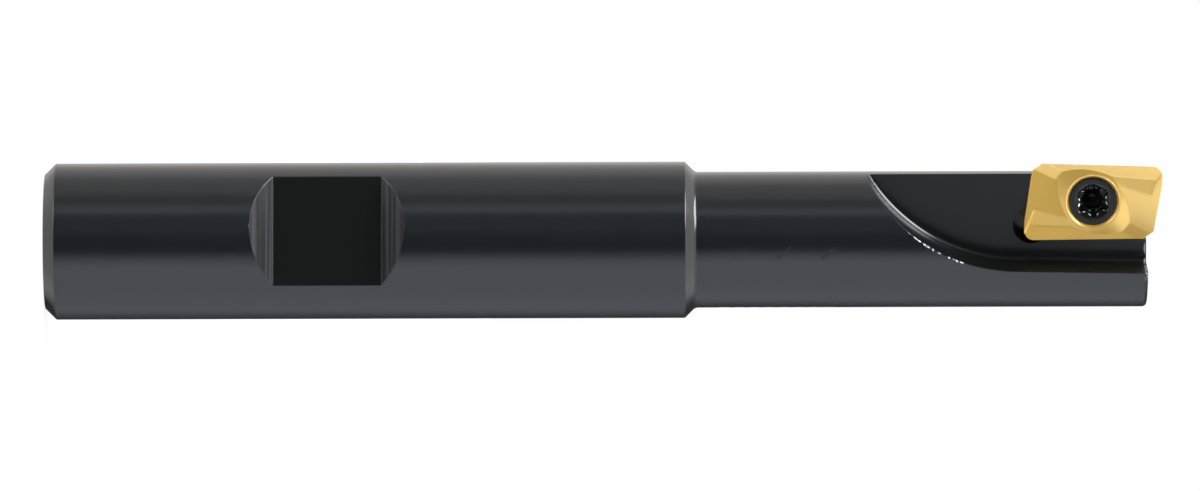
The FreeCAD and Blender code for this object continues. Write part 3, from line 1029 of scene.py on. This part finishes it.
def blackenedSteel():
    # Ground steel. Dull parts have their own shader, the flat's ramps carry cutter lines across,
    # and the rough stretch of the flute's edge shows specks of bare metal.
    made, top, shader = newMaterial("blackened_steel")
    position = top.node("ShaderNodeTexCoord", out="Object")
    patches = noise(top, position, 0.35, 4.0)
    grain = noise(top, position, 14.0, 2.0)
    rings = noise(top, position, 3.0, 3.0, (0.15, 0.15, 6.0))
    cuts = noise(top, position, 3.0, 2.0, (0.02, 0.02, 1.6))
    streaks = noise(top, position, 2.2, 3.0, (1.6, 1.6, 0.12))
    burr, dull, ramp = mark(top, "burr"), mark(top, "dull"), mark(top, "ramp")

    ground = mixColour(top, patches, steel["colour"], steel["worn"])
    line = top.node("ShaderNodeMapRange", None, {"Value": cuts, "From Min": 0.42, "From Max": 0.66})
    lined = mixColour(top, line, steel["rampDark"], steel["rampLight"])
    rough = steel["roughness"] + 0.04 * (patches - 0.5) + 0.05 * (grain - 0.5)
    rough = rough + 0.06 * (streaks - 0.5) + 0.15 * ramp
    height = grain * 0.5 + rings * 0.5 + ramp * cuts * 6.0
    bump = top.node("ShaderNodeBump", None, {"Strength": 0.1, "Distance": 0.000003, "Height": height})
    top.fill(shader, {
        "Base Color": mixColour(top, ramp, ground, lined), "Roughness": rough, "Normal": bump,
    })

    flat = top.node("ShaderNodeBsdfPrincipled", None, {
        "Base Color": mixColour(top, ramp, steel["dull"], lined),
        "Roughness": steel["dullRoughness"] + 0.1 * (grain - 0.5), "IOR": 1.28,
    })
    specks = noise(top, position, 3.0, 1.0, (0.5, 0.5, 1.75))
    speck = softStep(top, specks, 0.49, 0.55) * softStep(top, burr, 0.4, 0.8)
    bare = top.node("ShaderNodeBsdfPrincipled", None, {
        "Base Color": (*steel["bare"], 1.0), "Roughness": 0.45, "Metallic": 1.0,
    })
    both = mixShader(top, dull, Wire(top.tree, shader.outputs[0]), flat)
    useSurface(top, "ShaderNodeOutputMaterial", mixShader(top, speck, both, bare))
    return made


coating = {
    "colour": (0.745, 0.470, 0.083),
    "deep": (0.69, 0.425, 0.066),
    "roughness": 0.38,
    "metal": 0.72,
}


def goldCoating():
    # A matt metallic coating under a clear gloss, with a faint grain.
    made, top, shader = newMaterial("gold_coated_carbide")
    position = top.node("ShaderNodeTexCoord", out="Object")
    patches = noise(top, position, 0.8, 3.0)
    grain = noise(top, position, 22.0, 2.0)
    colour = mixColour(top, patches, coating["colour"], coating["deep"])
    rough = coating["roughness"] + 0.08 * (patches - 0.5) + 0.05 * (grain - 0.5)
    bump = top.node("ShaderNodeBump", None, {"Strength": 0.2, "Distance": 0.000004, "Height": grain})
    top.fill(shader, {
        "Base Color": colour, "Roughness": rough, "Metallic": coating["metal"], "Normal": bump,
        "Coat Weight": 1.0, "Coat IOR": 1.8, "Coat Roughness": 0.3,
    })
    return made


blacking = {
    "colour": (0.0040, 0.0040, 0.0030),
    "worn": (0.0065, 0.0065, 0.0050),
    "roughness": 0.08,
    # recess: painted shade, a darker black for inside the recess
    "recess": (0.003, 0.003, 0.003),
    "bare": (0.82, 0.82, 0.81),
}


def screwBlack():
    # Glossy black oxide with painted shade inside the recess (a darker, less reflective black),
    # and bare metal on the worn spots of its mouth.
    made, top, shader = newMaterial("black_screw_steel")
    position = top.node("ShaderNodeTexCoord", out="Object")
    patches = noise(top, position, 2.0, 3.0)
    colour = mixColour(top, patches, blacking["colour"], blacking["worn"])
    rough = blacking["roughness"] + 0.06 * (patches - 0.5)
    bump = top.node("ShaderNodeBump", None, {"Strength": 0.3, "Distance": 0.000006, "Height": patches})
    worn = mark(top, "worn") * noise(top, position, 2.6, 1.0)
    top.fill(shader, {"Base Color": colour, "Roughness": rough, "Normal": bump})
    # Painted shade for the recess: a near-black shader that reflects little.
    inside = top.node("ShaderNodeBsdfPrincipled", None, {
        "Base Color": (*blacking["recess"], 1.0), "Roughness": 0.2, "IOR": 1.3,
    })
    metal = top.node("ShaderNodeBsdfPrincipled", None, {
        "Base Color": (*blacking["bare"], 1.0), "Roughness": 0.3, "Metallic": 1.0,
    })
    both = mixShader(top, mark(top, "recess"), Wire(top.tree, shader.outputs[0]), inside)
    useSurface(top, "ShaderNodeOutputMaterial", mixShader(top, softStep(top, worn, 0.38, 0.48), both, metal))
    return made


for piece, node, slotName, material in (
    (cutter, "cutter_body", "blackened_steel", blackenedSteel()),
    (gold, "insert", "gold_coated_carbide", goldCoating()),
    (bolt, "insert_screw", "black_screw_steel", screwBlack()),
):
    piece.data.materials.clear()
    piece.data.materials.append(material)
    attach(piece, "root")
    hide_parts(node)
    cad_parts[node].data.materials.clear()
    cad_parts[node].data.materials.append(material)
print("materials")


# Camera: level, beside the tool, and turned so that the tool lies along the picture. Lengths are in metres.

view = {
    "azimuthDeg": -11.5,
    "distance": 1.0,
    "widthAtAxis": 0.0976,
    "centreHeight": 0.0451,
    "drop": 0.000430,
    "leanDeg": 0.17,
    "sensor": 36.0,
}


def cameraAxes():
    # Towards the camera, the picture's right and the picture's up.
    back = np.array([sin(view["azimuthDeg"]), -cos(view["azimuthDeg"]), 0.0])
    right = np.array([0.0, 0.0, 1.0])
    return back, right, np.cross(back, right)


def toolCamera():
    # Beside the tool, framed on its middle.
    back, right, up = cameraAxes()
    data = bpy.data.cameras.new("camera")
    data.sensor_width = view["sensor"]
    data.lens = view["sensor"] * view["distance"] / view["widthAtAxis"]
    data.clip_start, data.clip_end = 0.05, 50.0
    made = bpy.data.objects.new("camera", data)
    bpy.context.scene.collection.objects.link(made)
    spot = back * view["distance"] - up * view["drop"] + np.array([0, 0, view["centreHeight"]])
    turned = Matrix([[right[i], up[i], back[i]] for i in range(3)]).to_4x4()
    lean = Matrix.Rotation(math.radians(-view["leanDeg"]), 4, "Z")
    made.matrix_world = Matrix.Translation(spot.tolist()) @ turned @ lean
    bpy.context.scene.camera = made


toolCamera()

# Studio light: what lies round the tool, by angle from the camera's side, positive towards the picture's top

studio = {
    "strength": 1.55,
    "overhead": 1.08,
    "lamp": 14.0,           # a strip lamp, bounded by the direction's height and by the angle round the tool
    "lampLow": 0.60,
    "lampHigh": 0.90,
    "lampFromDeg": 28.0,
    "lampToDeg": 94.0,
    "lampBelow": 0.25,      # its twin at the shank's end, as a share of it
    "levels": [
        (-180, 0.15), (-168, 0.04), (-152, 0.06), (-138, 0.20), (-126, 0.40), (-114, 0.60), (-100, 0.74),
        (-80, 0.88), (-60, 0.95), (-42, 1.00), (-37, 0.90), (-32, 0.78), (-28, 0.66), (-23, 0.42),
        (-19, 0.18), (-13, 0.02), (0, 0.02), (8, 0.05), (16, 0.11), (34, 0.12), (40, 0.22), (44, 0.48),
        (50, 0.50), (58, 0.25), (68, 0.23), (74, 0.38), (82, 0.46), (104, 0.47), (114, 0.64), (160, 0.66),
        (172, 0.35), (180, 0.15),
    ],
    "cool": (0.935, 0.99, 1.075),
    "warm": (1.03, 0.99, 0.95),
    "warmFromDeg": 60,
    "lean": 0.12,           # how much brighter the light is from the tip's side than from the shank's
    "white": 0.9,           # the palest colour used, with the strength raised to match
}


def studioWorld():
    # The level by the direction's angle round the tool's axis, fading to the overhead level well above it.
    # What the camera sees behind the tool is plain white.
    world = bpy.data.worlds.new("studio")
    bpy.context.scene.world = world
    world.use_nodes = True
    world.node_tree.nodes.clear()
    top = Wire(world.node_tree)
    back, _, up = cameraAxes()
    white = studio["white"]
    direction = top.node("ShaderNodeTexCoord", out="Generated")

    def along(axis):
        sides = {0: direction, 1: axis.tolist()}
        return top.node("ShaderNodeVectorMath", {"operation": "DOT_PRODUCT"}, sides, "Value")

    def window(value, low, high, soft):
        # 1 between low and high, with soft edges.
        rising = softStep(top, value, low - soft, low + soft)
        return rising * (1 - softStep(top, value, high - soft, high + soft))

    turn = top.maths("ARCTAN2", along(up), along(back)) / (2 * math.pi) + 0.5
    stops = []
    for angle, level in studio["levels"]:
        tint = studio["cool"] if angle < studio["warmFromDeg"] else studio["warm"]
        stops.append(((angle + 180) / 360.0, [level * c * white for c in tint]))
    level = top.node("ShaderNodeValToRGB", {"stops": stops}, {"Fac": turn}, "Color")
    split = top.node("ShaderNodeSeparateXYZ", None, {0: direction}, "Z")
    high = softStep(top, top.maths("ABSOLUTE", split), 0.5, 0.85)
    around = mixColour(top, high, level, (white * studio["overhead"],) * 3)
    reach = studio["lampLow"], studio["lampHigh"], 0.04
    lampEnds = window(split, *reach) + studio["lampBelow"] * window(0 - split, *reach)
    lamp = lampEnds * window(turn, 0.5 + studio["lampFromDeg"] / 360, 0.5 + studio["lampToDeg"] / 360, 0.02)
    strength = (studio["strength"] * (1 + studio["lean"] * split) + studio["lamp"] * lamp) / white
    colour = mixColour(top, lamp, around, (white,) * 3)
    light = top.node("ShaderNodeBackground", None, {"Color": colour, "Strength": strength})
    plain = top.node("ShaderNodeBackground", None, {"Color": (1, 1, 1, 1), "Strength": 1.0})
    seen = top.node("ShaderNodeLightPath", out="Is Camera Ray")
    useSurface(top, "ShaderNodeOutputWorld", mixShader(top, seen, light, plain))


studioWorld()


disc = {
    "radius": 4000.0,
    "top": -0.02,
    "bottom": -5.0,
    "around": 64,
    "colour": (0.86, 0.86, 0.86, 1),
    "glow": 0.85,           # how much of the floor that the camera sees is plain white
}


def floorPiece():
    # A pale disc under the shank end. The camera sees it nearly white, with the tool's shadow on it,
    # and the tool's reflections show the studio instead of it.
    angle = np.linspace(0, 360, disc["around"], endpoint=False)
    rings = []
    high, low, reach = disc["top"], disc["bottom"], disc["radius"]
    for r, z in ((0, high), (reach, high), (reach, low), (0, low)):
        rings.append(np.column_stack([r * cos(angle), r * sin(angle), np.full(disc["around"], z)]))
    made = meshObject("floor", np.stack(rings), gridFaces(4, disc["around"]))
    material = bpy.data.materials.new("floor")
    material.use_nodes = True
    material.node_tree.nodes.clear()
    top = Wire(material.node_tree)
    plain = top.node("ShaderNodeBsdfDiffuse", None, {"Color": disc["colour"]})
    white = top.node("ShaderNodeEmission", None, {"Color": (1, 1, 1, 1), "Strength": 1.0})
    seen = top.node("ShaderNodeLightPath", out="Is Camera Ray")
    glossy = top.node("ShaderNodeLightPath", out="Is Glossy Ray")
    clear = top.node("ShaderNodeBsdfTransparent")
    mixed = mixShader(top, seen * disc["glow"], plain, white)
    useSurface(top, "ShaderNodeOutputMaterial", mixShader(top, glossy, mixed, clear))
    made.data.materials.append(material)


floorPiece()
bpy.context.scene.view_settings.view_transform = "Standard"
print("camera, studio and floor")
